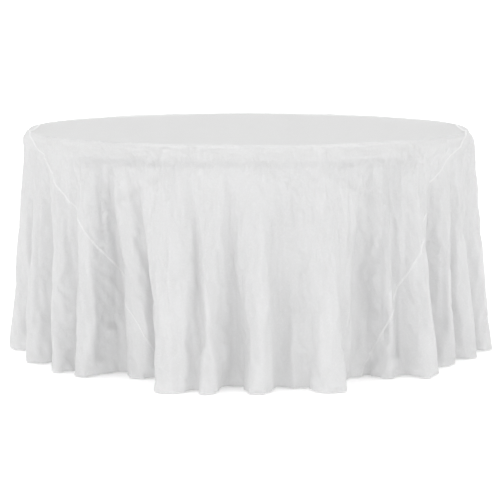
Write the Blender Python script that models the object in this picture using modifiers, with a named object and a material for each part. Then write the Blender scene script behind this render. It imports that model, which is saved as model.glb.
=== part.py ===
"""A round folding banquet table dressed with a floor-length sheer cloth.

Metres, +Z up. The origin is on the floor under the middle of the table.
The cloth is cut as one round of three sewn panels and hangs in folds to the floor.
"""
from math import acos, asin, atan2, cos, degrees, hypot, pi, radians, sin

import bmesh
import bpy
from mathutils import Matrix, Vector

# Fits shared by everything that touches.
GAP = 0.0003
PIN_PLAY = 0.0003
CUT_OVERRUN = 0.010

# Table top: a blow-moulded hollow disc.
TABLE_HEIGHT = 0.760
TABLE_RADIUS = 0.762
TOP_THICK = 0.045
TOP_WALL = 0.003
TOP_EDGE_ROUND = 0.008
TOP_STEPS = 64

# Cloth: a round of three panels, flat sizes as cut.
CLOTH_RADIUS = 1.524
CLOTH_THICK = 0.0012
SEAM_OFFSET = 0.740
SEAM_WIDTH = 0.008
SEAM_THICK = 0.0018
HEM_WIDTH = 0.005
HEM_THICK = 0.0024
HEM_CLEARANCE = 0.009
SEWN_GAP = 0.0010
FOLDS = 24
FOLD_DEPTH = 0.066
SKIRT_START = 0.0060
EDGE_ROLL = 0.008
SKIRT_FLARE = 0.007
FLARE_RUN = 0.100
FOLD_START = 0.045
DROP_STEPS = (0.0, 0.007, 0.026, 0.050, 0.190, 0.440)
CENTRE_COLUMNS = 28
SIDE_COLUMNS = 40
HEM_COLUMNS = 120

# Rails: steel angle under the top.
RAIL_LENGTH = 1.120
RAIL_DEPTH = 0.056
RAIL_FLANGE = 0.024
RAIL_STEEL = 0.002
RAIL_Y = 0.345
RAIL_SCREWS_X = (-0.400, -0.140, 0.140, 0.400)

# Leg frames: welded round tube, one at each end, that fold in.
PIVOT_X = 0.500
PIVOT_DROP = 0.040
LEG_Y = {"left": 0.300, "right": 0.250}
LEG_RADIUS = 0.014
LEG_WALL = 0.0015
PIVOT_RADIUS = 0.011
PIVOT_WALL = 0.0015
PIVOT_PROUD = 0.004
CAP_RADIUS = 0.0135
CAP_THICK = 0.0025
CAP_STEM = 0.010
STRETCHER_RADIUS = 0.011
STRETCHER_DROP = 0.180
FOOT_RADIUS = 0.0172
FOOT_HEIGHT = 0.032
FOOT_SOLE = 0.008
FOOT_ROUND = 0.0025
FOOT_TAPER = 0.001

# Folding braces: flat steel bars, a centre bracket and a sliding lock ring.
ANCHOR_X = 0.120
BRACE_RISE = 0.024
BAR_WIDTH = 0.020
BAR_THICK = 0.006
BAR_SPACING = 0.002
LUG_THICK = 0.003
LUG_COLLAR = 0.006
PIN_RADIUS = 0.004
PIN_HEAD_RADIUS = 0.007
PIN_HEAD_THICK = 0.0025
BRACKET_LENGTH = 0.290
BRACKET_WIDTH = 0.070
BRACKET_STEEL = 0.003
BRACKET_SCREW_X = 0.060
BRACKET_SCREW_Y = 0.024
RING_LENGTH = 0.028
RING_WALL = 0.002
RING_PLAY = 0.0004
RING_FROM_KNUCKLE = 0.050

# Screws: pan heads driven up into the top.
SCREW_RADIUS = 0.002
SCREW_HEAD_RADIUS = 0.0048
SCREW_HEAD_THICK = 0.0024
SCREW_BITE = 0.012

TOP_UNDERSIDE = TABLE_HEIGHT - TOP_THICK
PIVOT_Z = TOP_UNDERSIDE - PIVOT_DROP
BRACE_Z = PIVOT_Z + BRACE_RISE
SIDES = {"left": -1, "right": 1}
ENDS = {"front": -1, "back": 1}

MODEL = "round_table_with_sheer_cloth"
CUTTERS = "cutters"


def clear_scene():
    for thing in list(bpy.data.objects):
        bpy.data.objects.remove(thing, do_unlink=True)


def collection(name):
    made = bpy.data.collections.new(name)
    bpy.context.scene.collection.children.link(made)
    return made


def finish(name, colour, roughness, metallic=0.0):
    made = bpy.data.materials.new(name)
    made.use_nodes = True
    shader = made.node_tree.nodes["Principled BSDF"]
    shader.inputs["Base Color"].default_value = (*colour, 1.0)
    shader.inputs["Roughness"].default_value = roughness
    shader.inputs["Metallic"].default_value = metallic
    return made


def own_finish(thing, like):
    made = like.copy()
    made.name = thing.name + "_finish"
    thing.data.materials.clear()
    thing.data.materials.append(made)
    return thing


def new_mesh_object(name, bm, group):
    mesh = bpy.data.meshes.new(name)
    bm.to_mesh(mesh)
    bm.free()
    made = bpy.data.objects.new(name, mesh)
    group.objects.link(made)
    return made


def as_cutter(thing):
    thing.hide_render = True
    thing.display_type = "WIRE"
    return thing


def boolean(thing, tool, operation="DIFFERENCE"):
    step = thing.modifiers.new(operation.lower(), "BOOLEAN")
    step.operation = operation
    step.solver = "EXACT"
    step.object = tool


def axis_turn(axis):
    """The rotation that lays a cylinder, which stands along Z, along another axis."""
    return {"X": Matrix.Rotation(pi / 2, 4, "Y"), "Y": Matrix.Rotation(pi / 2, 4, "X"), "Z": Matrix()}[axis]


def rod(name, radius, length, centre, axis, group, segments=16):
    bm = bmesh.new()
    bmesh.ops.create_cone(
        bm, cap_ends=True, segments=segments, radius1=radius, radius2=radius, depth=length
    )
    made = new_mesh_object(name, bm, group)
    made.matrix_world = Matrix.Translation(centre) @ axis_turn(axis)
    made.data.shade_smooth()
    made.data.set_sharp_from_angle(angle=radians(40))
    return made


def block(name, size, matrix, group):
    bm = bmesh.new()
    bmesh.ops.create_cube(bm, size=1.0, matrix=Matrix.Diagonal((*size, 1.0)))
    made = new_mesh_object(name, bm, group)
    made.matrix_world = matrix
    return made


def turned(name, profile, place, group, steps=24):
    """A profile of (radius, height) points, down the outer side, spun about the local Z axis."""
    bm = bmesh.new()
    corners = [bm.verts.new((r, 0.0, z)) for r, z in profile]
    for a, b in zip(corners, corners[1:]):
        bm.edges.new((a, b))
    made = new_mesh_object(name, bm, group)
    spin = made.modifiers.new("spin", "SCREW")
    spin.steps = steps
    spin.render_steps = steps
    spin.use_merge_vertices = True
    spin.merge_threshold = 0.00001
    made.matrix_world = place
    return made


def arc(centre_x, centre_y, radius, start, end, count):
    """Points on a round stretch of an outline, with angles in degrees."""
    turns = [radians(start + (end - start) * i / count) for i in range(count + 1)]
    return [(centre_x + radius * cos(t), centre_y + radius * sin(t)) for t in turns]


def plate(name, outline, thick, matrix, group, holes=()):
    """A flat outline in the local XY plane, with round holes, given a thickness along local Z."""
    curve = bpy.data.curves.new(name, "CURVE")
    curve.dimensions = "2D"
    curve.fill_mode = "BOTH"
    curve.extrude = thick / 2
    rings = [outline] + [arc(x, y, r, 0, 337.5, 15) for x, y, r in holes]
    for ring in rings:
        spline = curve.splines.new("POLY")
        spline.points.add(len(ring) - 1)
        spline.use_cyclic_u = True
        for point, (x, y) in zip(spline.points, ring):
            point.co = (x, y, 0.0, 1.0)
    made = bpy.data.objects.new(name, curve)
    group.objects.link(made)
    made.matrix_world = matrix
    return made


def as_mesh(thing, group):
    """The same piece as a welded mesh, ready to be cut or joined."""
    bpy.context.view_layer.update()
    solid = bpy.data.meshes.new_from_object(thing.evaluated_get(bpy.context.evaluated_depsgraph_get()))
    bm = bmesh.new()
    bm.from_mesh(solid)
    bmesh.ops.remove_doubles(bm, verts=bm.verts, dist=0.00001)
    bm.to_mesh(solid)
    bm.free()
    name, matrix = thing.name, thing.matrix_world.copy()
    bpy.data.objects.remove(thing, do_unlink=True)
    made = bpy.data.objects.new(name, solid)
    group.objects.link(made)
    made.matrix_world = matrix
    return made


def hang_on(pieces, axis_empty):
    """Gives pieces a parent on their joint's axis and leaves them where they are."""
    bpy.context.view_layer.update()
    for piece in pieces:
        piece.parent = axis_empty
        piece.matrix_parent_inverse = axis_empty.matrix_world.inverted()


def joint_empty(name, place, group):
    made = bpy.data.objects.new(name, None)
    made.empty_display_size = 0.05
    made.location = place
    group.objects.link(made)
    return made


# The cloth ---------------------------------------------------------------------------------------

SHEET_TOP = TABLE_HEIGHT + GAP + SEAM_THICK / 2
HEM_RUN = CLOTH_RADIUS - TABLE_RADIUS
SKIRT_DROP = SHEET_TOP - HEM_CLEARANCE


def drape(flat_radius, angle):
    """Where a point of the flat round hangs: on the top, round the edge, then down a fluted skirt."""
    run = flat_radius - TABLE_RADIUS
    if run <= 0.0:
        return Vector((flat_radius * cos(angle), flat_radius * sin(angle), SHEET_TOP))
    share = run / HEM_RUN
    roll = SKIRT_START * min(1.0, run / EDGE_ROLL) + SKIRT_FLARE * min(1.0, run / FLARE_RUN)
    folded = max(0.0, run - FOLD_START) / (HEM_RUN - FOLD_START)
    reach = TABLE_RADIUS + roll + FOLD_DEPTH * folded * (1 + cos(FOLDS * angle)) / 2
    return Vector((reach * cos(angle), reach * sin(angle), SHEET_TOP - SKIRT_DROP * share))


def seam_angle(flat_radius, offset):
    """The angle from the X axis at which a straight seam crosses a circle on the flat cloth."""
    return acos(min(1.0, offset / flat_radius))


def thicken(thing, thick):
    step = thing.modifiers.new("thickness", "SOLIDIFY")
    step.thickness = thick
    step.offset = 0.0
    step.use_even_offset = False


def cloth_grid(name, rows, thick, group):
    """A piece of cloth from rows of hung points, as an open grid that is given its thickness."""
    bm = bmesh.new()
    bmesh.ops.create_grid(bm, x_segments=len(rows[0]) - 1, y_segments=len(rows) - 1, size=1.0)
    order = sorted(bm.verts, key=lambda v: (round(v.co.y, 5), round(v.co.x, 5)))
    for vert, place in zip(order, [point for row in rows for point in row]):
        vert.co = place
    made = new_mesh_object(name, bm, group)
    thicken(made, thick)
    made.data.shade_smooth()
    return made


def row_radii():
    """The circles on the flat cloth that the rows follow, from the table's edge to the hem's top.

    The panels stop a sewn gap above the hem, measured down the hung skirt.
    """
    hem_line = CLOTH_RADIUS - HEM_WIDTH - SEWN_GAP * HEM_RUN / SKIRT_DROP
    return [TABLE_RADIUS + step for step in DROP_STEPS] + [hem_line]


def centre_panel(group):
    offset = SEAM_OFFSET - SEAM_WIDTH / 2 - SEWN_GAP
    shares = [2 * i / CENTRE_COLUMNS - 1 for i in range(CENTRE_COLUMNS + 1)]

    def row(radius, side):
        spread = pi / 2 - seam_angle(radius, offset)
        return [drape(radius, side * (pi / 2 - share * spread)) for share in shares]

    radii = row_radii()
    rows = [row(radius, -1) for radius in reversed(radii)] + [row(radius, 1) for radius in radii]
    return cloth_grid("cloth_centre_panel", rows, CLOTH_THICK, group)


def side_panel(side, group):
    offset = SEAM_OFFSET + SEAM_WIDTH / 2 + SEWN_GAP
    sign = SIDES[side]
    middle = 0.0 if sign > 0 else pi
    shares = [2 * i / SIDE_COLUMNS - 1 for i in range(SIDE_COLUMNS + 1)]
    half_chord = TABLE_RADIUS * sin(seam_angle(TABLE_RADIUS, offset)) / 2
    rows = [[Vector((sign * offset, sign * share * half_chord, SHEET_TOP)) for share in shares]]
    for radius in row_radii():
        spread = seam_angle(radius, offset)
        rows.append([drape(radius, middle + share * spread) for share in shares])
    return cloth_grid("cloth_" + side + "_panel", rows[::-1], CLOTH_THICK, group)


def seam(side, group):
    sign = SIDES[side]
    middle = 0.0 if sign > 0 else pi
    near = SEAM_OFFSET - SEAM_WIDTH / 2
    far = SEAM_OFFSET + SEAM_WIDTH / 2
    rows = []
    for end in (-1, 1):
        radii = row_radii()
        for radius in reversed(radii) if end < 0 else radii:
            turns = [end * seam_angle(radius, offset) for offset in (near, far)]
            rows.append([drape(radius, middle + turn) for turn in turns])
    return cloth_grid(side + "_seam", rows, SEAM_THICK, group)


def rolled_hem(group):
    """The narrow rolled edge, a closed band that follows the folds all the way round."""
    bm = bmesh.new()
    rings = []
    for radius in (CLOTH_RADIUS - HEM_WIDTH, CLOTH_RADIUS):
        turns = [2 * pi * i / HEM_COLUMNS for i in range(HEM_COLUMNS)]
        rings.append([bm.verts.new(drape(radius, turn)) for turn in turns])
    top, low = rings
    for i in range(HEM_COLUMNS):
        j = (i + 1) % HEM_COLUMNS
        bm.faces.new((top[i], low[i], low[j], top[j]))
    made = new_mesh_object("rolled_hem", bm, group)
    thicken(made, HEM_THICK)
    return made


def tablecloth(group, cloth):
    pieces = [centre_panel(group), rolled_hem(group)]
    for side in SIDES:
        pieces.append(side_panel(side, group))
        pieces.append(seam(side, group))
    for piece in pieces:
        own_finish(piece, cloth)
    hang_on(pieces, joint_empty("cloth_lift_axis", (0.0, 0.0, SHEET_TOP), group))


# The table ---------------------------------------------------------------------------------------

def screw_places():
    """Each screw's name and place, with the thickness of the steel that it holds."""
    places = []
    for end, way in ENDS.items():
        for i, x in enumerate(RAIL_SCREWS_X):
            y = way * (RAIL_Y + RAIL_STEEL / 2 - RAIL_FLANGE / 2)
            places.append(("rail_screw_%s_%d" % (end, i + 1), x, y, RAIL_STEEL))
    for side, sign in SIDES.items():
        for end, way in ENDS.items():
            place = (sign * BRACKET_SCREW_X, way * BRACKET_SCREW_Y)
            places.append(("bracket_screw_%s_%s" % (side, end), *place, BRACKET_STEEL))
    return places


def screw_holes(thing, places, cutters):
    """Clearance holes through the steel, or pilot holes through the lower skin of the top."""
    for name, x, y, steel in places:
        hole = rod(
            name + "_hole_in_" + thing.name, SCREW_RADIUS + PIN_PLAY, 4 * TOP_WALL + 2 * steel,
            (x, y, TOP_UNDERSIDE), "Z", cutters, 12,
        )
        boolean(thing, as_cutter(hole))


def table_top(group, cutters, plastic):
    outer_edge = TABLE_RADIUS - TOP_EDGE_ROUND

    def disc(inset):
        top = TABLE_HEIGHT - inset
        low = TOP_UNDERSIDE + inset
        bend = TOP_EDGE_ROUND - inset
        upper = arc(outer_edge, TABLE_HEIGHT - TOP_EDGE_ROUND, bend, 90, 0, 3)
        lower = arc(outer_edge, TOP_UNDERSIDE + TOP_EDGE_ROUND, bend, 0, -90, 3)
        return [(0.0, top)] + upper + lower + [(0.0, low)]

    body = turned("table_top", disc(0.0), Matrix(), group, TOP_STEPS)
    hollow = turned("top_hollow", disc(TOP_WALL), Matrix(), cutters, TOP_STEPS)
    boolean(body, as_cutter(hollow))
    screw_holes(body, screw_places(), cutters)
    own_finish(body, plastic)


def rail(end, group, cutters, steel):
    """A steel angle: a flange against the top and a web that the pivot tubes pass through."""
    way = ENDS[end]
    top = TOP_UNDERSIDE - GAP
    outer = way * (RAIL_Y + RAIL_STEEL / 2)
    inner = way * (RAIL_Y - RAIL_STEEL / 2)
    lip = outer - way * RAIL_FLANGE
    outline = [
        (outer, top), (lip, top), (lip, top - RAIL_STEEL), (inner, top - RAIL_STEEL),
        (inner, top - RAIL_DEPTH), (outer, top - RAIL_DEPTH),
    ]
    along_x = Matrix(((0, 0, 1, 0), (1, 0, 0, 0), (0, 1, 0, 0), (0, 0, 0, 1)))
    body = as_mesh(plate("rail_" + end, outline, RAIL_LENGTH, along_x, group), group)
    for side, sign in SIDES.items():
        hole = rod(
            "pivot_hole_%s_%s" % (side, end), PIVOT_RADIUS + PIN_PLAY, 4 * RAIL_FLANGE,
            (sign * PIVOT_X, way * RAIL_Y, PIVOT_Z), "Y", cutters, 24,
        )
        boolean(body, as_cutter(hole))
    screw_holes(body, [p for p in screw_places() if p[0].startswith("rail_screw_" + end)], cutters)
    own_finish(body, steel)


def screws(group, steel):
    for name, x, y, clamped in screw_places():
        seat = TOP_UNDERSIDE - GAP - clamped - GAP
        tip = TOP_UNDERSIDE + SCREW_BITE
        profile = [
            (0.0, tip), (SCREW_RADIUS, tip - SCREW_RADIUS), (SCREW_RADIUS, seat),
            (SCREW_HEAD_RADIUS, seat), (SCREW_HEAD_RADIUS, seat - 0.5 * SCREW_HEAD_THICK),
            (0.7 * SCREW_HEAD_RADIUS, seat - SCREW_HEAD_THICK), (0.0, seat - SCREW_HEAD_THICK),
        ]
        own_finish(turned(name, profile, Matrix.Translation((x, y, 0.0)), group, 8), steel)


def bar_layer(way):
    """The Y at the middle of the upper bar (-1) or the lower bar (+1), side by side."""
    return way * (BAR_SPACING / 2 + BAR_THICK / 2)


def lug_layer(way):
    return way * (BAR_SPACING / 2 + BAR_THICK + PIN_PLAY + LUG_THICK / 2)


def in_brace_plane(origin, angle, y):
    """Lays a flat outline upright in the XZ plane, its local X along the given angle."""
    place = Matrix.Translation((origin[0], y, origin[1]))
    return place @ Matrix.Rotation(-angle, 4, "Y") @ Matrix.Rotation(pi / 2, 4, "X")


def slot_outline(start, end, radius_start, radius_end):
    """A bar with round ends along local X; the ends may differ, and the sides stay straight."""
    lean = degrees(asin((radius_start - radius_end) / (end - start)))
    far = arc(end, 0.0, radius_end, lean - 90, 90 - lean, 8)
    near = arc(start, 0.0, radius_start, 90 - lean, 270 + lean, 8)
    return far + near


def centre_bracket(group, cutters, steel):
    """A plate screwed under the middle of the top, with a hanging lug for each brace."""
    top = TOP_UNDERSIDE - GAP
    low = top - BRACKET_STEEL
    seat = Matrix.Translation((0.0, 0.0, (top + low) / 2))
    body = block("centre_bracket", (BRACKET_LENGTH, BRACKET_WIDTH, BRACKET_STEEL), seat, group)
    hang = low - BRACE_Z
    for side, sign in SIDES.items():
        matrix = in_brace_plane((sign * ANCHOR_X, BRACE_Z), pi / 2, lug_layer(-1))
        half = BAR_WIDTH / 2
        outline = [(hang + BRACKET_STEEL / 2, half), *arc(0.0, 0.0, half, 90, 270, 8)]
        outline.append((hang + BRACKET_STEEL / 2, -half))
        lug = plate(side + "_anchor_lug", outline, LUG_THICK, matrix, cutters)
        boolean(body, as_cutter(as_mesh(lug, cutters)), "UNION")
        hole = rod(
            side + "_anchor_hole", PIN_RADIUS + PIN_PLAY, 4 * LUG_THICK,
            (sign * ANCHOR_X, lug_layer(-1), BRACE_Z), "Y", cutters,
        )
        boolean(body, as_cutter(hole))
    screw_holes(body, [p for p in screw_places() if p[0].startswith("bracket")], cutters)
    own_finish(body, steel)


# Leg frames --------------------------------------------------------------------------------------

def tube(name, radius, wall, length, centre, axis, group, cutters):
    body = rod(name, radius, length, centre, axis, group)
    bore = rod(name + "_bore", radius - wall, length + 2 * CUT_OVERRUN, centre, axis, cutters)
    boolean(body, as_cutter(bore))
    return body


def pivot_cap(side, end, group, plastic):
    way = ENDS[end]
    stem = PIVOT_RADIUS - PIVOT_WALL - PIN_PLAY
    face = way * (RAIL_Y + RAIL_STEEL / 2 + PIVOT_PROUD + GAP)
    profile = [
        (0.0, CAP_THICK), (0.7 * CAP_RADIUS, CAP_THICK), (CAP_RADIUS, 0.4 * CAP_THICK),
        (CAP_RADIUS, 0.0), (stem, 0.0), (stem, -CAP_STEM), (0.0, -CAP_STEM),
    ]
    outward = Matrix.Rotation(-way * pi / 2, 4, "X")
    place = Matrix.Translation((SIDES[side] * PIVOT_X, face, PIVOT_Z)) @ outward
    return own_finish(turned("pivot_cap_%s_%s" % (side, end), profile, place, group, 16), plastic)


def foot(side, end, group, plastic):
    """A moulded cap pushed over the end of a leg."""
    socket = LEG_RADIUS + PIN_PLAY
    profile = [
        (0.0, FOOT_SOLE), (socket, FOOT_SOLE), (socket, FOOT_HEIGHT),
        (FOOT_RADIUS - FOOT_TAPER, FOOT_HEIGHT), (FOOT_RADIUS, FOOT_SOLE),
        (FOOT_RADIUS, FOOT_ROUND), (FOOT_RADIUS - FOOT_ROUND, 0.0), (0.0, 0.0),
    ]
    place = Matrix.Translation((SIDES[side] * PIVOT_X, ENDS[end] * LEG_Y[side], 0.0))
    return own_finish(turned("foot_%s_%s" % (side, end), profile, place, group, 16), plastic)


def leg_frame(side, group, cutters, steel, plastic):
    sign = SIDES[side]
    x = sign * PIVOT_X
    pivot_length = 2 * (RAIL_Y + RAIL_STEEL / 2 + PIVOT_PROUD)
    pivot = tube(
        "pivot_tube_" + side, PIVOT_RADIUS, PIVOT_WALL, pivot_length, (x, 0.0, PIVOT_Z), "Y",
        group, cutters,
    )
    cope = as_cutter(
        rod("pivot_cope_" + side, PIVOT_RADIUS + GAP, pivot_length, (x, 0.0, PIVOT_Z), "Y", cutters, 16)
    )
    stretcher_z = PIVOT_Z - STRETCHER_DROP
    stretcher = tube(
        "stretcher_" + side, STRETCHER_RADIUS, PIVOT_WALL, 2 * LEG_Y[side], (x, 0.0, stretcher_z),
        "Y", group, cutters,
    )
    pieces = [pivot, stretcher]
    low = FOOT_SOLE + GAP
    for end, way in ENDS.items():
        y = way * LEG_Y[side]
        middle = (PIVOT_Z + low) / 2
        leg = tube(
            "leg_%s_%s" % (side, end), LEG_RADIUS, LEG_WALL, PIVOT_Z - low, (x, y, middle), "Z",
            group, cutters,
        )
        boolean(leg, cope)
        saddle = rod(
            "saddle_%s_%s" % (side, end), LEG_RADIUS + GAP, 2 * (STRETCHER_RADIUS + CUT_OVERRUN),
            (x, y, stretcher_z), "Z", cutters, 16,
        )
        boolean(stretcher, as_cutter(saddle))
        pieces.append(leg)
    for piece in pieces:
        own_finish(piece, steel)
    pieces += [foot(side, end, group, plastic) for end in ENDS]
    pieces += [pivot_cap(side, end, group, plastic) for end in ENDS]
    return pieces


# Folding braces ----------------------------------------------------------------------------------

def brace_layout():
    """The angle of a straight brace below level, and its two bar lengths between pins.

    Open, the bars make one straight line from the anchor to the lug. Folded, they lie back on
    each other above the stretcher, so the two lengths are half the sum and half the
    difference of the anchor-to-lug distances.
    """
    open_run = PIVOT_X - BRACE_RISE - ANCHOR_X
    open_fall = BRACE_RISE + STRETCHER_DROP
    open_reach = hypot(open_run, open_fall)
    folded_reach = PIVOT_X - STRETCHER_DROP - ANCHOR_X
    upper = (open_reach + folded_reach) / 2
    return atan2(open_fall, open_run), upper, open_reach - upper


def brace_pin(name, origin, way, inner_end, group, steel):
    """A rivet along Y: its head outside the lug or bar on one side, its tail near the middle."""
    head_seat = way * (BAR_SPACING / 2 + BAR_THICK + 2 * PIN_PLAY)
    if not name.startswith("knuckle"):
        head_seat += way * LUG_THICK
    shank = abs(head_seat - inner_end)
    profile = [
        (0.0, PIN_HEAD_THICK), (0.6 * PIN_HEAD_RADIUS, PIN_HEAD_THICK),
        (PIN_HEAD_RADIUS, 0.4 * PIN_HEAD_THICK), (PIN_HEAD_RADIUS, 0.0), (PIN_RADIUS, 0.0),
        (PIN_RADIUS, -shank), (0.0, -shank),
    ]
    outward = Matrix.Rotation(-way * pi / 2, 4, "X")
    place = Matrix.Translation((origin[0], head_seat, origin[1])) @ outward
    return own_finish(turned(name, profile, place, group, 12), steel)


def brace_lug(side, lug_point, group, steel):
    """A plate welded on the stretcher that carries the brace's lower pin."""
    sign = SIDES[side]
    stretcher = (sign * PIVOT_X, PIVOT_Z - STRETCHER_DROP)
    run, rise = lug_point[0] - stretcher[0], lug_point[1] - stretcher[1]
    reach = hypot(run, rise)
    holes = [(0.0, 0.0, STRETCHER_RADIUS + GAP), (reach, 0.0, PIN_RADIUS + PIN_PLAY)]
    outline = slot_outline(0.0, reach, STRETCHER_RADIUS + LUG_COLLAR, BAR_WIDTH / 2)
    matrix = in_brace_plane(stretcher, atan2(rise, run), lug_layer(1))
    return own_finish(plate("brace_lug_" + side, outline, LUG_THICK, matrix, group, holes), steel)


def lock_ring(side, centre, angle, group, cutters, steel):
    """A rectangular sleeve round both bars' layers, which slides along the upper bar."""
    inside_y = BAR_SPACING + 2 * BAR_THICK + 2 * RING_PLAY
    inside_v = BAR_WIDTH + 2 * RING_PLAY
    matrix = in_brace_plane(centre, angle, 0.0)
    grown = 2 * RING_WALL
    body = block(
        "lock_ring_" + side, (RING_LENGTH, inside_v + grown, inside_y + grown), matrix, group
    )
    ease = body.modifiers.new("eased_edges", "BEVEL")
    ease.width = RING_WALL / 2
    ease.segments = 1
    core = block("ring_core_" + side, (2 * RING_LENGTH, inside_v, inside_y), matrix, cutters)
    boolean(body, as_cutter(core))
    return own_finish(body, steel)


def brace(side, group, cutters, steel):
    sign = SIDES[side]
    slope, upper, lower = brace_layout()
    angle = -slope if sign > 0 else pi + slope
    along = (cos(angle), sin(angle))
    anchor = (sign * ANCHOR_X, BRACE_Z)
    knuckle = (anchor[0] + upper * along[0], anchor[1] + upper * along[1])
    lug_point = (sign * (PIVOT_X - BRACE_RISE), PIVOT_Z - STRETCHER_DROP)
    half = BAR_WIDTH / 2
    hole = PIN_RADIUS + PIN_PLAY

    upper_bar = plate(
        "brace_upper_bar_" + side, slot_outline(0.0, upper, half, half), BAR_THICK,
        in_brace_plane(anchor, angle, bar_layer(-1)), group, [(0.0, 0.0, hole), (upper, 0.0, hole)],
    )
    own_finish(upper_bar, steel)
    knuckle_tail = BAR_SPACING / 2 - GAP
    rivet = brace_pin("knuckle_rivet_" + side, knuckle, -1, knuckle_tail, group, steel)
    brace_pin("anchor_pin_" + side, anchor, -1, -GAP, group, steel)

    lower_bar = plate(
        "brace_lower_bar_" + side, slot_outline(0.0, lower, half, half), BAR_THICK,
        in_brace_plane(lug_point, angle + pi, bar_layer(1)), group, [(0.0, 0.0, hole)],
    )
    own_finish(lower_bar, steel)
    lug = brace_lug(side, lug_point, group, steel)
    pin = brace_pin("lug_pin_" + side, lug_point, 1, GAP, group, steel)

    back = upper - RING_FROM_KNUCKLE
    ring_centre = (anchor[0] + back * along[0], anchor[1] + back * along[1])
    ring = lock_ring(side, ring_centre, angle, group, cutters, steel)

    anchor_axis = joint_empty(side + "_anchor_axis", (anchor[0], 0.0, anchor[1]), group)
    lug_axis = joint_empty(side + "_lug_axis", (lug_point[0], 0.0, lug_point[1]), group)
    ring_slide = joint_empty(side + "_ring_slide", (ring_centre[0], 0.0, ring_centre[1]), group)
    hang_on([ring], ring_slide)
    hang_on([upper_bar, rivet, ring_slide], anchor_axis)
    hang_on([lower_bar], lug_axis)
    return [lug, pin, lug_axis]


def build():
    clear_scene()
    model = collection(MODEL)
    cutters = collection(CUTTERS)
    sheer_white = finish("sheer_white", (0.86, 0.86, 0.86), 0.55)
    moulded_white = finish("moulded_white", (0.80, 0.80, 0.78), 0.60)
    grey_steel = finish("grey_powder_coat", (0.22, 0.23, 0.24), 0.45, 0.3)
    zinc = finish("zinc_plate", (0.62, 0.62, 0.60), 0.35, 0.9)
    black_plastic = finish("black_plastic", (0.03, 0.03, 0.03), 0.55)

    tablecloth(model, sheer_white)
    table_top(model, cutters, moulded_white)
    for end in ENDS:
        rail(end, model, cutters, grey_steel)
    centre_bracket(model, cutters, grey_steel)
    screws(model, zinc)
    for side, sign in SIDES.items():
        fold_axis = joint_empty(side + "_leg_fold_axis", (sign * PIVOT_X, 0.0, PIVOT_Z), model)
        swinging = leg_frame(side, model, cutters, grey_steel, black_plastic)
        swinging += brace(side, model, cutters, zinc)
        hang_on(swinging, fold_axis)


build()
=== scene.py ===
"""A round folding table dressed to the floor with a sheer white crinkled cloth.

Metres, +Z up, the front towards -Y. The sections follow the order in which it is put together.
"""
from math import asin, cos, pi, radians, sin, sqrt

import bmesh
import bpy
import numpy as np
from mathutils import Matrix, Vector, noise


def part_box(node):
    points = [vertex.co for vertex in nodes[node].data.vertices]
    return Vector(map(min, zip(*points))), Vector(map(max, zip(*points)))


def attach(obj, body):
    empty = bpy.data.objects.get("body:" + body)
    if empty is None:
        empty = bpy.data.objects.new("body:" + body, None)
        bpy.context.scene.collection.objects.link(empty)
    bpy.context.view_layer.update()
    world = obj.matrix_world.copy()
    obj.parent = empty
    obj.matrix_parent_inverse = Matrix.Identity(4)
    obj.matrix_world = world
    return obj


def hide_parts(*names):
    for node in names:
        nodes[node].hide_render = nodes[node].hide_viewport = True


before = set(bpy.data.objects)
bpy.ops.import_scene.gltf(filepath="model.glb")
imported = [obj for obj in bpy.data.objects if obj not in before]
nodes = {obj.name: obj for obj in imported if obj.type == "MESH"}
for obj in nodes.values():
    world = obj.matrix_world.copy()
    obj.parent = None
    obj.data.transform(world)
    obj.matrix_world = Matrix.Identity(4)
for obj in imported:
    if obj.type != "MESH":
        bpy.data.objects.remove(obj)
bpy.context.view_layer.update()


# Moulded top -------------------------------------------------------------------------------------
# A hollow disc, blow moulded in one shot from white polyethylene. The mould leaves a fine
# pebble grain on it, and a faint mottle of grey specks runs through the plastic.

CORNER_ANGLE = radians(35)


def new_finish(name, roughness, metallic=0.0):
    made = bpy.data.materials.new(name)
    made.use_nodes = True
    shader = made.node_tree.nodes["Principled BSDF"]
    shader.inputs["Roughness"].default_value = roughness
    shader.inputs["Metallic"].default_value = metallic
    return made, shader


def feed(material, socket, value):
    """Sets a socket, or joins it to the socket that its value comes from."""
    if isinstance(value, bpy.types.NodeSocket):
        material.node_tree.links.new(value, socket)
    else:
        socket.default_value = value


def add(material, kind, **settings):
    """A node of a kind, with its sockets set or fed by name."""
    made = material.node_tree.nodes.new("ShaderNode" + kind)
    for name, value in settings.items():
        feed(material, made.inputs[name.replace("_", " ")], value)
    return made


def own_space(material):
    return add(material, "TexCoord").outputs["Object"]


def blended(material, factor, first, second, manner="MIX"):
    """Two colours mixed by a factor."""
    made = add(material, "Mix", Factor=factor)
    made.data_type = "RGBA"
    made.blend_type = manner
    for socket, colour in zip([s for s in made.inputs if s.type == "RGBA"], (first, second)):
        feed(material, socket, colour)
    return [s for s in made.outputs if s.type == "RGBA"][0]


def mottle(material, shader, low, high, where, scale, detail=4.0, contrast=0.5):
    """Lets the colour wander between two tones."""
    cloud = add(material, "TexNoise", Vector=where, Scale=scale, Detail=detail, Roughness=0.6)
    steer = add(material, "MapRange", Value=cloud.outputs["Fac"], From_Min=0.5 - contrast / 2,
                From_Max=0.5 + contrast / 2)
    tone = blended(material, steer.outputs["Result"], (*low, 1.0), (*high, 1.0))
    shader.inputs["Base Color"].default_value = [*(np.array(low) + high) / 2, 1.0]
    material.node_tree.links.new(tone, shader.inputs["Base Color"])
    return cloud


def raised(material, shader, height, distance, strength, below=None):
    """Feeds a height into the shader's normal, over any relief that is already there."""
    bump = add(material, "Bump", Height=height, Distance=distance, Strength=strength)
    if below is not None:
        material.node_tree.links.new(below.outputs["Normal"], bump.inputs["Normal"])
    material.node_tree.links.new(bump.outputs["Normal"], shader.inputs["Normal"])
    return bump


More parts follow.
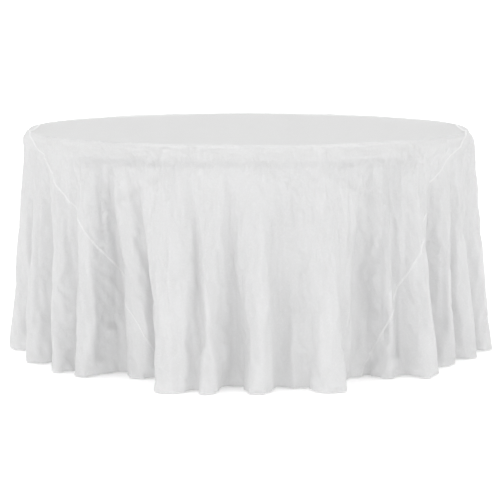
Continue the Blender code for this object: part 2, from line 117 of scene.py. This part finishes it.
def grained(material, shader, where, scale, height, strength, detail=2.0):
    """An even fine grain over the whole surface."""
    grain = add(material, "TexNoise", Vector=where, Scale=scale, Detail=detail)
    return raised(material, shader, grain.outputs["Fac"], height, strength)


def wear(node_name, material):
    piece = nodes[node_name]
    piece.data.materials.clear()
    piece.data.materials.append(material)
    piece.data.shade_smooth()
    piece.data.set_sharp_from_angle(angle=CORNER_ANGLE)


moulded, shader = new_finish("moulded_polyethylene", 0.55)
place = own_space(moulded)
mottle(moulded, shader, (0.80, 0.80, 0.79), (0.90, 0.90, 0.89), place, 260.0)
grained(moulded, shader, place, 420.0, 0.0004, 0.5)
wear("table_top", moulded)


# Rails, bracket and leg frames -------------------------------------------------------------------
# Two steel angles and a centre bracket are screwed under the top. The welded tube leg frames
# turn in the angles. All of it is powder coated grey, with the slight orange peel of the coat.

sides = ("left", "right")
ends = ("front", "back")

coat, shader = new_finish("grey_powder_coat", 0.42)
place = own_space(coat)
mottle(coat, shader, (0.39, 0.40, 0.41), (0.45, 0.46, 0.47), place, 22.0)
grained(coat, shader, place, 900.0, 0.0002, 0.35)
for name in ("rail_front", "rail_back", "centre_bracket"):
    wear(name, coat)
for side in sides:
    for name in ("pivot_tube_", "stretcher_", "brace_lug_"):
        wear(name + side, coat)
    for end in ends:
        wear("leg_%s_%s" % (side, end), coat)


# Feet and pivot caps -----------------------------------------------------------------------------
# Black moulded caps pushed over the leg ends and into the ends of the pivot tubes, with the
# dull fine texture of a spark-eroded mould.

cap_black, shader = new_finish("black_moulding", 0.55)
place = own_space(cap_black)
mottle(cap_black, shader, (0.028, 0.028, 0.030), (0.048, 0.048, 0.050), place, 60.0)
grained(cap_black, shader, place, 1500.0, 0.0001, 0.4, detail=1.0)
for side in sides:
    for end in ends:
        wear("foot_%s_%s" % (side, end), cap_black)
        wear("pivot_cap_%s_%s" % (side, end), cap_black)


# Folding braces ----------------------------------------------------------------------------------
# Flat bars, lock rings and their rivets in zinc-plated steel. The plate has dull spangles and
# the bars keep the long fine lines of cold rolling.

def plated(name, colour, roughness, drawn):
    """Zinc plate, with rolling lines along X where drawn is above 0."""
    made, shader = new_finish(name, roughness, metallic=0.95)
    place = own_space(made)
    darker = tuple(0.86 * tone for tone in colour)
    spangle = mottle(made, shader, darker, colour, place, 140.0, 2.0)
    dull = add(made, "MapRange", Value=spangle.outputs["Fac"], To_Min=roughness - 0.08,
               To_Max=roughness + 0.12)
    made.node_tree.links.new(dull.outputs["Result"], shader.inputs["Roughness"])
    if drawn:
        squeezed = add(made, "Mapping", Vector=place, Scale=(6.0, 900.0, 900.0))
        lines = add(made, "TexNoise", Vector=squeezed.outputs["Vector"], Scale=1.0, Detail=2.0)
        raised(made, shader, lines.outputs["Fac"], 0.0001, drawn)
    return made


bar_zinc = plated("rolled_zinc_plate", (0.66, 0.66, 0.65), 0.34, 0.3)
ring_zinc = plated("folded_zinc_plate", (0.70, 0.70, 0.69), 0.30, 0.0)
rivet_zinc = plated("rivet_zinc_plate", (0.62, 0.62, 0.61), 0.38, 0.0)
for side in sides:
    wear("brace_upper_bar_" + side, bar_zinc)
    wear("brace_lower_bar_" + side, bar_zinc)
    wear("lock_ring_" + side, ring_zinc)
    for name in ("anchor_pin_", "lug_pin_", "knuckle_rivet_"):
        wear(name + side, rivet_zinc)


# Screws ------------------------------------------------------------------------------------------
# Zinc-plated pan-head screws for plastic, driven up into the top. Eight hold the two rails and
# four hold the centre bracket.

screw_zinc = plated("screw_zinc_plate", (0.64, 0.64, 0.62), 0.36, 0.0)
for name in nodes:
    if "screw" in name:
        wear(name, screw_zinc)


# The cloth's drape -------------------------------------------------------------------------------
# One 3.05 m round of sheer white polyester, laid over the top so that it falls to the floor in
# soft uneven folds. It is fixed by nothing but its weight and its grip on the top.

# The hem's crests and valleys in turn: the direction in degrees, from the left end round
# through the front, and the reach from the middle of the table.
FOLDS = [
    (-8, 0.72), (4, 0.845), (14, 0.69), (24, 0.82), (31, 0.67), (39, 0.835), (43.5, 0.73),
    (47.5, 0.80), (53, 0.64), (58, 0.70), (63, 0.70), (67, 0.66), (72.5, 0.905), (77, 0.885),
    (79.7, 0.82), (82.5, 0.875), (87, 0.73), (92.8, 0.875), (98.5, 0.76), (102.5, 0.775),
    (107.5, 0.915), (114, 0.74), (121, 0.67), (127, 0.765), (130.5, 0.735), (135.5, 0.865),
    (142.5, 0.65), (149, 0.80), (155, 0.69), (162, 0.81), (169, 0.75), (173, 0.865), (180, 0.69),
    (187, 0.855), (196, 0.66), (204, 0.82), (211, 0.67), (219, 0.84), (227, 0.65), (235, 0.82),
    (243, 0.67), (250, 0.84), (258, 0.65), (265, 0.82), (273, 0.66), (280, 0.84), (289, 0.67),
    (297, 0.82), (304, 0.66), (312, 0.84), (320, 0.66), (328, 0.82), (336, 0.66), (344, 0.83),
]
CLOTH_RADIUS = 1.524

# The cloth's clearance over the top, and outside the rim.
AIR = 0.0025
RIM_AIR = 0.003

# The cloth is reckoned as rows of points: how many points, how many rows, and their spacing
# where it turns over the rim. The hem is first traced with many more.
AROUND = 480
SKIRT_ROWS = 44
EDGE_STEP = 0.005
FIRST_FALL = 0.026
DENSE = 2400

# The ridges at the rim: how far they stand out, and over what fall they rise and widen.
RIDGE_REACH = 0.013
RIDGE_RISE = 0.03
LOBE_SPAN = range(-70, 71, 5)
LEAST_LOBE = 0.02
FULL_LOBE = 0.08

table_low, table_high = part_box("table_top")
RIM = table_high.x
TOP = table_high.z + AIR
TOP_THICK = table_high.z - table_low.z
BAND = TOP_THICK + EDGE_STEP


def hem_line(fullness):
    """The hem seen from above: round lobes through the crests and valleys."""
    turn = np.radians([direction for direction, reach in FOLDS])
    reach = np.array([reach for direction, reach in FOLDS])
    knots = np.stack([-np.cos(turn) * reach, -np.sin(turn) * reach], 1)
    span = (np.roll(turn, -1) - np.roll(turn, 1)) % (2 * pi)
    slopes = fullness * np.stack([np.sin(turn), -np.cos(turn)], 1) * (span * reach)[:, None]
    t = np.linspace(0, 1, 24, endpoint=False)[None, :, None]
    here, there = knots[:, None], np.roll(knots, -1, 0)[:, None]
    leave, arrive = slopes[:, None], np.roll(slopes, -1, 0)[:, None]
    line = (
        (2 * t**3 - 3 * t**2 + 1) * here + (t**3 - 2 * t**2 + t) * leave
        + (3 * t**2 - 2 * t**3) * there + (t**3 - t**2) * arrive
    )
    return line.reshape(-1, 2)


def steps_round(line):
    return np.linalg.norm(np.roll(line, -1, 0) - line, axis=1)


def tuned(low, high, length_of, wanted):
    """The setting between two that gives the wanted length."""
    for _ in range(40):
        middle = (low + high) / 2
        low, high = (middle, high) if length_of(middle) < wanted else (low, middle)
    return low


def laid_evenly(line, radius, count):
    """Points of the flat cloth at even turns round a circle, along the line that it hangs on."""
    steps = steps_round(line)
    passed = np.concatenate([[0.0], np.cumsum(steps)]) / radius
    turn = np.unwrap(np.arctan2(-line[:, 1], -line[:, 0]))
    drift = np.mean(turn - passed[:-1])
    wanted = (np.arange(count) * 2 * pi / count - drift) % passed[-1]
    closed = np.concatenate([line, line[:1]])
    return np.stack([np.interp(wanted, passed, closed[:, i]) for i in (0, 1)], 1)


def hem_length(fullness):
    return steps_round(hem_line(fullness)).sum()


# The lobes of the hem are as full as it takes to use up its whole length.
hem = hem_line(tuned(0.2, 3.0, hem_length, 2 * pi * CLOTH_RADIUS))
hem = laid_evenly(hem, CLOTH_RADIUS, DENSE)
even_turns = np.arange(DENSE) * 2 * pi / DENSE
hem_reach = np.hypot(hem[:, 0], hem[:, 1])
hem_turn = np.unwrap(np.arctan2(-hem[:, 1], -hem[:, 0]))
hem_turn += 2 * pi * np.round((even_turns - hem_turn).mean() / (2 * pi))
standing = np.maximum(hem_reach - RIM, 0.0)
highest = np.stack([np.roll(standing, k) for k in LOBE_SPAN]).max(0)
peak = np.stack([np.roll(highest, k) for k in LOBE_SPAN]).mean(0)
lobe = np.clip(standing / np.maximum(peak, LEAST_LOBE), 0, 1)


def row_line(radius, depth):
    """A row of the skirt from above: narrow ridges at the rim that open into the hem's lobes."""
    run = radius - RIM
    share = run / (CLOTH_RADIUS - RIM)
    pinch = lobe ** (1 + 3 * (1 - share) ** 2)
    ridge = min(1.0, run / RIDGE_RISE) * (1 - share) * RIDGE_REACH * pinch**3
    outward = share * peak * pinch * (share + (1 - share) * np.minimum(peak / FULL_LOBE, 1.0))
    below = max(0.0, run - BAND) / (CLOTH_RADIUS - RIM - BAND)
    inward = depth * below**0.85 * np.minimum(hem_reach - RIM, 0.0)
    reach = RIM + RIM_AIR * min(1.0, run / EDGE_STEP) * (1 - share) + outward + inward + ridge
    turn = even_turns + share * (hem_turn - even_turns)
    return np.stack([-np.cos(turn) * reach, -np.sin(turn) * reach], 1)


def hung_row(radius):
    def length_of(depth):
        return steps_round(row_line(radius, depth)).sum()
    depth = tuned(0.0, 1.5, length_of, 2 * pi * radius)
    return laid_evenly(row_line(radius, depth), length_of(depth) / (2 * pi), AROUND)


top_rows = [0.12, 0.24, 0.36, 0.47, 0.56, 0.63, 0.68, 0.715, 0.742, RIM - EDGE_STEP, RIM]
falling_rows = np.linspace(RIM + FIRST_FALL, CLOTH_RADIUS, SKIRT_ROWS)
skirt_rows = [RIM + EDGE_STEP, RIM + 2.4 * EDGE_STEP, *falling_rows]
radii = np.array(top_rows + skirt_rows)
turns = np.arange(AROUND) * 2 * pi / AROUND
flat = radii[:, None, None] * np.stack([-np.cos(turns), -np.sin(turns)], 1)[None]
plan = np.concatenate([flat[:len(top_rows)], np.stack([hung_row(r) for r in skirt_rows])])
level = np.full(plan.shape[:2], TOP)
for j in range(len(top_rows), len(radii)):
    step = radii[j] - radii[j - 1]
    aside = np.linalg.norm(plan[j] - plan[j - 1], axis=1)
    level[j] = level[j - 1] - np.sqrt(np.maximum(step**2 - aside**2, (0.5 * step) ** 2))
start = np.concatenate([plan, level[:, :, None]], 2)


def round_mesh(name, places, centre):
    """A disc of quads round a middle point, from rows of places on growing circles."""
    rows, around = places.shape[:2]
    points = [centre] + places.reshape(-1, 3).tolist()
    faces = [(0, 1 + i, 1 + (i + 1) % around) for i in range(around)]
    for j in range(rows - 1):
        for i in range(around):
            a = 1 + j * around + i
            b = 1 + j * around + (i + 1) % around
            faces.append((a, a + around, b + around, b))
    mesh = bpy.data.meshes.new(name)
    mesh.from_pydata(points, [], faces)
    mesh.update()
    return mesh


# The cloth settles over the top, from folds that are nearly right to ones that hang. The top
# grips it up to a little inside the rim.
SETTLE_FRAMES = 24
GRIP = 0.02
RIM_ROUNDING = 0.007


def hard_top():
    """A plain round in the table top's place, for the cloth to lie on."""
    bm = bmesh.new()
    bmesh.ops.create_cone(bm, cap_ends=True, segments=128, radius1=RIM, radius2=RIM, depth=TOP_THICK)
    under = bpy.data.meshes.new("table_under_cloth")
    bm.to_mesh(under)
    bm.free()
    table = bpy.data.objects.new("table_under_cloth", under)
    table.location.z = (table_high.z + table_low.z) / 2
    bpy.context.scene.collection.objects.link(table)
    rounding = table.modifiers.new("rounding", "BEVEL")
    rounding.width = RIM_ROUNDING
    rounding.segments = 3
    table.modifiers.new("solid", "COLLISION")
    table.collision.thickness_outer = 0.002
    table.collision.cloth_friction = 8.0
    return table


def settled(places, flat_places):
    lying = bpy.data.objects.new("lying_cloth", round_mesh("lying_cloth", places, (0, 0, TOP)))
    bpy.context.scene.collection.objects.link(lying)
    lying.shape_key_add(name="Basis")
    cut = lying.shape_key_add(name="cut_flat")
    level = np.full(flat_places.shape[:2] + (1,), TOP)
    cut_points = np.concatenate([flat_places, level], 2).reshape(-1, 3)
    cut_points = np.concatenate([[[0, 0, TOP]], cut_points])
    cut.data.foreach_set("co", cut_points.astype(np.float32).ravel())
    cut.value = 0.0
    held = lying.vertex_groups.new(name="held")
    held_rows = int((radii <= RIM - GRIP).sum())
    held.add(list(range(1 + held_rows * AROUND)), 1.0, "REPLACE")
    table = hard_top()
    step = lying.modifiers.new("settle", "CLOTH")
    weave = step.settings
    weave.quality = 6
    weave.mass = 0.00007
    weave.tension_stiffness = 25.0
    weave.compression_stiffness = 2.0
    weave.shear_stiffness = 8.0
    weave.bending_stiffness = 0.08
    weave.tension_damping = weave.compression_damping = weave.shear_damping = 8.0
    weave.bending_damping = 0.5
    weave.air_damping = 1.0
    weave.vertex_group_mass = "held"
    weave.rest_shape_key = cut
    step.collision_settings.distance_min = 0.0015
    step.collision_settings.collision_quality = 2
    step.collision_settings.use_self_collision = False
    step.point_cache.frame_start = 1
    step.point_cache.frame_end = SETTLE_FRAMES
    scene = bpy.context.scene
    scene.frame_start = 1
    scene.frame_end = SETTLE_FRAMES
    for number in range(1, SETTLE_FRAMES + 1):
        scene.frame_set(number)
    hung = lying.evaluated_get(bpy.context.evaluated_depsgraph_get()).to_mesh()
    points = np.empty(3 * len(hung.vertices), np.float32)
    hung.vertices.foreach_get("co", points)
    bpy.data.objects.remove(lying, do_unlink=True)
    bpy.data.objects.remove(table, do_unlink=True)
    return points.reshape(-1, 3)[1:].reshape(places.shape).astype(float)


hung = settled(start, flat)

# Each column of the skirt is drawn down until the hem all but touches the floor.
HEM_CLEAR = 0.004
full_drop = (TOP - HEM_CLEAR) / (TOP - hung[-1, :, 2])
share_down = np.clip((radii - RIM) / (CLOTH_RADIUS - RIM), 0, 1)[:, None]
hung[:, :, 2] = TOP - (TOP - hung[:, :, 2]) * (1 + share_down * (full_drop[None] - 1))


def finer_round(grid):
    """Puts a point between each two round the cloth, on the smooth curve through them."""
    between = (9 * (grid + np.roll(grid, -1, 1)) - np.roll(grid, 1, 1) - np.roll(grid, -2, 1)) / 16
    return np.stack([grid, between], 2).reshape(len(grid), -1, grid.shape[2])


def finer_down(grid):
    """Puts a row between each two rows, on the smooth curve through them."""
    above = np.concatenate([grid[:1], grid[:-2]])
    below = np.concatenate([grid[2:], 2 * grid[-1:] - grid[-2:-1]])
    between = (9 * (grid[:-1] + grid[1:]) - above - below) / 16
    rows = np.empty((2 * len(grid) - 1, *grid.shape[1:]))
    rows[0::2] = grid
    rows[1::2] = between
    return rows


sheet = finer_down(finer_round(np.concatenate([hung, flat], 2)))
hung, flat = sheet[:, :, :3], sheet[:, :, 3:]


def facing(grid):
    """The outward direction of the cloth at each point."""
    round_way = np.roll(grid, -1, 1) - np.roll(grid, 1, 1)
    down_way = np.gradient(grid, axis=0)
    out = np.cross(down_way, round_way)
    return out / np.maximum(np.linalg.norm(out, axis=2, keepdims=True), 1e-9)


# Creases pressed into the whole cloth: short soft ridges in all directions, and on the skirt
# long slim ones that run down from the rim.
CREASE_HEIGHT = 0.0006
CREASE_SCALE = 24.0
FALL_HEIGHT = 0.0028
FALLS_ROUND = 17.0
noise.seed_set(5)


def creases(x, y):
    folded = Vector((x * CREASE_SCALE, y * CREASE_SCALE, 3.7))
    ridge = 1 - abs(noise.noise(folded + 0.8 * noise.noise_vector(folded * 0.7)))
    patch = noise.noise(Vector((x * 4.0, y * 4.0, 9.1)))
    return (ridge**3 - 0.5) * (0.75 + 0.6 * patch)


def falls(x, y):
    reach = sqrt(x * x + y * y)
    if reach < RIM:
        return 0.0
    side = Vector((x / reach, y / reach, 0.0)) * FALLS_ROUND
    side.z = (reach - RIM) * 1.6
    ridge = 1 - abs(noise.noise(side) + 0.35 * noise.noise(side * 2.3))
    patch = max(0.0, 0.6 + noise.noise(side * 0.35))
    return (ridge**5 - 0.3) * patch * min(1.0, (reach - RIM) / 0.08)


def all_round(height):
    return np.array([height(x, y) for x, y in flat.reshape(-1, 2)]).reshape(flat.shape[:2])


relief = CREASE_HEIGHT * np.maximum(all_round(creases), -0.35) + FALL_HEIGHT * all_round(falls)
hung = hung + relief[:, :, None] * facing(hung)


# Cloth panels ------------------------------------------------------------------------------------
# Three widths of the same fabric: a full centre width and two side pieces. The fabric is thin
# enough to show the white rim of the table behind it, with a crushed surface and a soft sheen.

SEAM_X = 0.740
THROUGH = 0.26
# The grey that is screened into the cloth's colour along its creases: a painted highlight.
PAINTED_GLINT = (0.4, 0.4, 0.4, 1.0)


def reckoned(material, operation, *parts):
    """The sum, product or other outcome of heights and numbers."""
    made = add(material, "Math")
    made.operation = operation
    for socket, part in zip(made.inputs, parts):
        feed(material, socket, part)
    return made.outputs["Value"]


sheer, shader = new_finish("sheer_crinkled_white", 0.42)
shader.inputs["Alpha"].default_value = 0.82
shader.inputs["Sheen Weight"].default_value = 0.5
shader.inputs["Sheen Roughness"].default_value = 0.4
shader.inputs["Specular IOR Level"].default_value = 0.5
cut_layout = add(sheer, "UVMap")
cut_layout.uv_map = "cut_layout"
lengthwise = cut_layout.outputs["UV"]
mottle(sheer, shader, (0.84, 0.84, 0.845), (0.88, 0.88, 0.885), lengthwise, 420.0, 6.0, 0.4)

# Slim folds that run down the skirt, from the rim on.
fall_layout = add(sheer, "UVMap")
fall_layout.uv_map = "fall_layout"
fallen = fall_layout.outputs["UV"]
drawn_out = add(sheer, "Mapping", Vector=fallen, Scale=(70.0, 3.0, 1.0))
streaks = add(sheer, "TexNoise", Vector=drawn_out.outputs["Vector"], Scale=1.0, Detail=3.0)
from_middle = add(sheer, "SeparateXYZ", Vector=fallen).outputs["Y"]
skirt_only = add(sheer, "MapRange", Value=from_middle, From_Min=RIM, From_Max=RIM + 0.1)
streak = reckoned(sheer, "MULTIPLY", streaks.outputs["Fac"], skirt_only.outputs["Result"])
pleated = raised(sheer, shader, streak, 0.003, 0.5)

# Crushed creases: sharp lines where a cloud of noise crosses its middle, gathered in patches.
crushed = add(sheer, "TexNoise", Vector=lengthwise, Scale=190.0, Detail=3.0, Distortion=1.2)
beside = reckoned(sheer, "ABSOLUTE", reckoned(sheer, "SUBTRACT", crushed.outputs["Fac"], 0.5))
line = add(sheer, "MapRange", Value=beside, From_Max=0.05, To_Min=1.0, To_Max=0.0)
gathers = add(sheer, "TexNoise", Vector=lengthwise, Scale=26.0, Detail=2.0)
gathered = add(sheer, "MapRange", Value=gathers.outputs["Fac"], From_Min=0.40, From_Max=0.64,
               To_Min=0.6)
creased = reckoned(sheer, "MULTIPLY", line.outputs["Result"], gathered.outputs["Result"])
coarse = raised(sheer, shader, creased, 0.0011, 0.8, pleated)
# The crease lines are also painted lighter in the colour: a painted highlight screened over the
# mottle.
mottled = shader.inputs["Base Color"].links[0].from_socket
painted_crease_glint = blended(sheer, creased, mottled, PAINTED_GLINT, "SCREEN")
sheer.node_tree.links.new(painted_crease_glint, shader.inputs["Base Color"])
fine = add(sheer, "TexNoise", Vector=lengthwise, Scale=900.0, Detail=3.0)
finest = raised(sheer, shader, fine.outputs["Fac"], 0.0016, 0.8, coarse)

# Some of the light that falls on the back of the fabric comes through it.
glow_through = add(sheer, "BsdfTranslucent", Color=(0.88, 0.88, 0.88, 1.0),
                   Normal=finest.outputs["Normal"])
layered = add(sheer, "MixShader", Fac=THROUGH)
surface = sheer.node_tree.nodes["Material Output"].inputs["Surface"]
sheer.node_tree.links.new(shader.outputs["BSDF"], layered.inputs[1])
sheer.node_tree.links.new(glow_through.outputs["BSDF"], layered.inputs[2])
sheer.node_tree.links.new(layered.outputs["Shader"], surface)


def cut_round():
    """The whole cloth as a flat disc, cut at both seams, that remembers where each point hangs."""
    level = np.zeros(flat.shape[:2] + (1,))
    mesh = round_mesh("cut_cloth", np.concatenate([flat, level], 2), (0, 0, 0))
    bm = bmesh.new()
    bm.from_mesh(mesh)
    place = bm.verts.layers.float_vector.new("hung")
    bm.verts.ensure_lookup_table()
    bm.verts[0][place] = (0, 0, TOP)
    for vert, where in zip(list(bm.verts)[1:], hung.reshape(-1, 3)):
        vert[place] = where
    for x in (-SEAM_X, SEAM_X):
        parts = bm.verts[:] + bm.edges[:] + bm.faces[:]
        bmesh.ops.bisect_plane(bm, geom=parts, dist=1e-6, plane_co=(x, 0, 0), plane_no=(1, 0, 0))
    bm.to_mesh(mesh)
    bm.free()
    return mesh


def panel(name, whole, low, high):
    """The faces of the cut cloth that lie between two seams, as a hung piece of their own."""
    cut = np.array([v.co[:2] for v in whole.vertices])
    where = np.empty(3 * len(whole.vertices), np.float32)
    whole.attributes["hung"].data.foreach_get("vector", where)
    where = where.reshape(-1, 3)
    kept = [list(p.vertices) for p in whole.polygons if low < p.center.x < high]
    used = sorted({v for face in kept for v in face})
    number = {v: i for i, v in enumerate(used)}
    mesh = bpy.data.meshes.new(name)
    mesh.from_pydata(where[used].tolist(), [], [[number[v] for v in face] for face in kept])
    mesh.update()
    spread = mesh.uv_layers.new(name="cut_layout")
    corners = np.array([v for face in kept for v in face])
    on_cut = cut[corners] / (2 * CLOTH_RADIUS) + 0.5
    spread.data.foreach_set("uv", on_cut.astype(np.float32).ravel())
    x, y = cut[corners].T
    turn = np.arctan2(x, np.abs(y)) if low < 0 < high else np.arctan2(y, np.abs(x))
    fall = mesh.uv_layers.new(name="fall_layout")
    fall.data.foreach_set("uv", np.stack([turn, np.hypot(x, y)], 1).astype(np.float32).ravel())
    mesh.shade_smooth()
    mesh.materials.append(sheer)
    made = bpy.data.objects.new(name, mesh)
    bpy.context.scene.collection.objects.link(made)
    return made


whole = cut_round()
centre_panel = panel("sheer_centre_panel", whole, -SEAM_X, SEAM_X)
left_panel = panel("sheer_left_panel", whole, -2 * CLOTH_RADIUS, -SEAM_X)
right_panel = panel("sheer_right_panel", whole, SEAM_X, 2 * CLOTH_RADIUS)
panels = {
    "cloth_centre_panel": centre_panel, "cloth_left_panel": left_panel,
    "cloth_right_panel": right_panel,
}
for node_name, piece in panels.items():
    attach(piece, "tablecloth")
    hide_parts(node_name)


# Seams -------------------------------------------------------------------------------------------
# The side pieces are joined to the centre width by flat-felled seams: the four layers make a
# slim raised band, held by two rows of stitching. Both seams run straight on the flat cloth.

SEAM_HALF = 0.0034
SEAM_STEP = 0.006
SEAM_SHORT = 0.004
SEWN_CORNER = radians(50)
STITCH_LENGTH = 0.0028
STITCH_WIDTH = 0.0006
STITCH_LIFT = 0.0003
STITCH_ROWS = (-0.6, 0.6)
STITCH_HEIGHT = 0.0012
# Round the band: the share of its half width, and the height over the cloth.
SEAM_SECTION = (
    (-1, -0.0004), (-0.85, 0.0010), (0, 0.0013), (0.85, 0.0010), (1, -0.0004), (0, -0.0008),
)


def hung_at(x, y):
    """Where a point of the flat cloth hangs."""
    row_radii = np.hypot(flat[:, 0, 0], flat[:, 0, 1])
    reach = min(sqrt(x * x + y * y), row_radii[-1] - 1e-6)
    j = max(0, int(np.searchsorted(row_radii, reach)) - 1)
    u = (reach - row_radii[j]) / (row_radii[j + 1] - row_radii[j])
    around = flat.shape[1]
    turn = (np.arctan2(-y, -x) % (2 * pi)) / (2 * pi) * around
    i = int(turn) % around
    v = turn - int(turn)
    k = (i + 1) % around
    upper = (1 - v) * hung[j, i] + v * hung[j, k]
    lower = (1 - v) * hung[j + 1, i] + v * hung[j + 1, k]
    return (1 - u) * upper + u * lower


def unit(vector):
    return vector / max(np.linalg.norm(vector), 1e-9)


def add_stitch(bm, middle, along, across, out):
    """One stitch: a low eased block of thread that bites into the fabric at both ends."""
    ring = []
    for lift, keep in ((-STITCH_LIFT, 1.0), (STITCH_LIFT, 0.55)):
        for a, c in ((-1, -1), (1, -1), (1, 1), (-1, 1)):
            endways = a * keep * STITCH_LENGTH / 2 * along
            sideways = c * STITCH_WIDTH / 2 * across
            ring.append(bm.verts.new(middle + endways + sideways + lift * out))
    low, high = ring[:4], ring[4:]
    bm.faces.new(high)
    bm.faces.new(low[::-1])
    for i in range(4):
        j = (i + 1) % 4
        bm.faces.new((low[i], low[j], high[j], high[i]))


def tube_along(bm, rings, closed):
    """Skins rings of equal count into one closed skin, capped at the ends where it is open."""
    made = [[bm.verts.new(point) for point in ring] for ring in rings]
    spans = list(zip(made, made[1:] + made[:1] if closed else made[1:]))
    for here, there in spans:
        for i in range(len(here)):
            j = (i + 1) % len(here)
            bm.faces.new((here[i], here[j], there[j], there[i]))
    if not closed:
        bm.faces.new(made[0][::-1])
        bm.faces.new(made[-1])


def as_piece(name, bm, material, node_name):
    bmesh.ops.recalc_face_normals(bm, faces=bm.faces)
    mesh = bpy.data.meshes.new(name)
    bm.to_mesh(mesh)
    bm.free()
    mesh.shade_smooth()
    mesh.set_sharp_from_angle(angle=SEWN_CORNER)
    mesh.materials.append(material)
    made = bpy.data.objects.new(name, mesh)
    bpy.context.scene.collection.objects.link(made)
    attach(made, "tablecloth")
    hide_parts(node_name)
    return made


def sewn_finish(name, roughness, low, high):
    """The same fabric in several layers, with the grain of its threads."""
    made, shader = new_finish(name, roughness)
    shader.inputs["Sheen Weight"].default_value = 0.3
    place = own_space(made)
    mottle(made, shader, (low, low, low), (high, high, high), place, 300.0)
    grained(made, shader, place, 1400.0, 0.0003, 0.5)
    return made


felled = sewn_finish("felled_seam_white", 0.6, 0.74, 0.85)
seam_end = sqrt(CLOTH_RADIUS**2 - SEAM_X**2) - SEAM_SHORT
for side, sign in (("left", -1), ("right", 1)):
    x = sign * SEAM_X
    count = int(2 * seam_end / SEAM_STEP)
    stations = [-seam_end + 2 * seam_end * i / count for i in range(count + 1)]
    middles = [hung_at(x, y) for y in stations]
    bm = bmesh.new()
    rings = []
    for i, y in enumerate(stations):
        along = unit(middles[min(i + 1, count)] - middles[max(i - 1, 0)])
        across = unit(hung_at(x + SEAM_HALF, y) - hung_at(x - SEAM_HALF, y))
        out = unit(np.cross(across, along))
        rings.append([
            middles[i] + a * SEAM_HALF * across + lift * out for a, lift in SEAM_SECTION
        ])
        for row in STITCH_ROWS:
            middle = middles[i] + row * SEAM_HALF * across + STITCH_HEIGHT * out
            add_stitch(bm, middle, along, across, out)
    tube_along(bm, rings, closed=False)
    as_piece(side + "_felled_seam", bm, felled, side + "_seam")


# Rolled hem --------------------------------------------------------------------------------------
# The raw edge of the cloth is turned in twice to make a narrow roll, and small stitches near the
# top of the roll hold it, all the way round.

ROLL_HEIGHT = 0.0052
ROLL_THICK = 0.0022
ROLL_SIDES = 8

edge = hung[-1]
upper = hung[-2]
count = len(edge)
bm = bmesh.new()
rings = []
for i in range(count):
    down = unit(edge[i] - upper[i])
    along = unit(edge[(i + 1) % count] - edge[i - 1])
    out = unit(np.cross(down, along))
    middle = edge[i] - down * ROLL_HEIGHT / 2
    ring = []
    for k in range(ROLL_SIDES):
        turn = 2 * pi * k / ROLL_SIDES
        ring.append(middle + sin(turn) * ROLL_HEIGHT / 2 * down + cos(turn) * ROLL_THICK / 2 * out)
    rings.append(ring)
    for part in (0.0, 0.5):
        seat = (1 - part) * middle + part * (edge[(i + 1) % count] - down * ROLL_HEIGHT / 2)
        for face in (-1, 1):
            on_face = seat - down * 0.3 * ROLL_HEIGHT + face * 0.45 * ROLL_THICK * out
            add_stitch(bm, on_face, along, down, face * out)
tube_along(bm, rings, closed=True)
rolled = sewn_finish("rolled_hem_white", 0.55, 0.68, 0.80)
hem_piece = as_piece("rolled_hem_edge", bm, rolled, "rolled_hem")


# Studio ------------------------------------------------------------------------------------------
# A plain white floor under a soft white sky that is brightest at the horizon, broad soft lamps
# from the front left, the front right and above, and a camera a little above the table.

FLOOR_RADIUS = 60.0
LOOKING_DOWN = 7.7


def far_lamp(name, from_where, softness, strength):
    data = bpy.data.lights.new(name, "SUN")
    data.angle = radians(softness)
    data.energy = strength
    made = bpy.data.objects.new(name, data)
    made.rotation_euler = Vector(from_where).to_track_quat("Z", "Y").to_euler()
    bpy.context.scene.collection.objects.link(made)


far_lamp("left_lamp", (-1.0, -0.75, 1.1), 55.0, 0.66)
far_lamp("right_lamp", (1.1, -0.65, 0.95), 55.0, 0.52)
far_lamp("top_lamp", (0.0, 0.2, 1.0), 80.0, 2.0)

sky = bpy.data.worlds.new("white_studio")
sky.use_nodes = True
glow = sky.node_tree.nodes["Background"]
direction = add(sky, "TexCoord").outputs["Generated"]
height = add(sky, "SeparateXYZ", Vector=direction).outputs["Z"]
dome = add(sky, "MapRange", Value=height, From_Min=0.10, From_Max=0.22, To_Min=1.1, To_Max=0.42)
sky.node_tree.links.new(dome.outputs["Result"], glow.inputs["Strength"])
glow.inputs["Color"].default_value = (1.0, 1.0, 1.0, 1.0)
bpy.context.scene.world = sky

bm = bmesh.new()
bmesh.ops.create_circle(bm, cap_ends=True, segments=96, radius=FLOOR_RADIUS)
floor_mesh = bpy.data.meshes.new("studio_floor")
bm.to_mesh(floor_mesh)
bm.free()
floor = bpy.data.objects.new("studio_floor", floor_mesh)
bpy.context.scene.collection.objects.link(floor)
floor_white, shader = new_finish("floor_white", 0.9)
floor_mesh.materials.append(floor_white)
shader.inputs["Base Color"].default_value = (0.95, 0.95, 0.95, 1.0)
shader.inputs["Emission Color"].default_value = (1.0, 1.0, 1.0, 1.0)
shader.inputs["Emission Strength"].default_value = 0.2

camera_data = bpy.data.cameras.new("camera")
camera_data.lens = 143.0
camera_data.sensor_width = 36.0
camera_data.clip_end = 100.0
camera = bpy.data.objects.new("camera", camera_data)
camera.location = (0.0, -6.9, 1.27)
camera.rotation_euler = (radians(90 - LOOKING_DOWN), 0.0, radians(-0.06))
bpy.context.scene.collection.objects.link(camera)
bpy.context.scene.camera = camera
bpy.context.scene.view_settings.view_transform = "Standard"
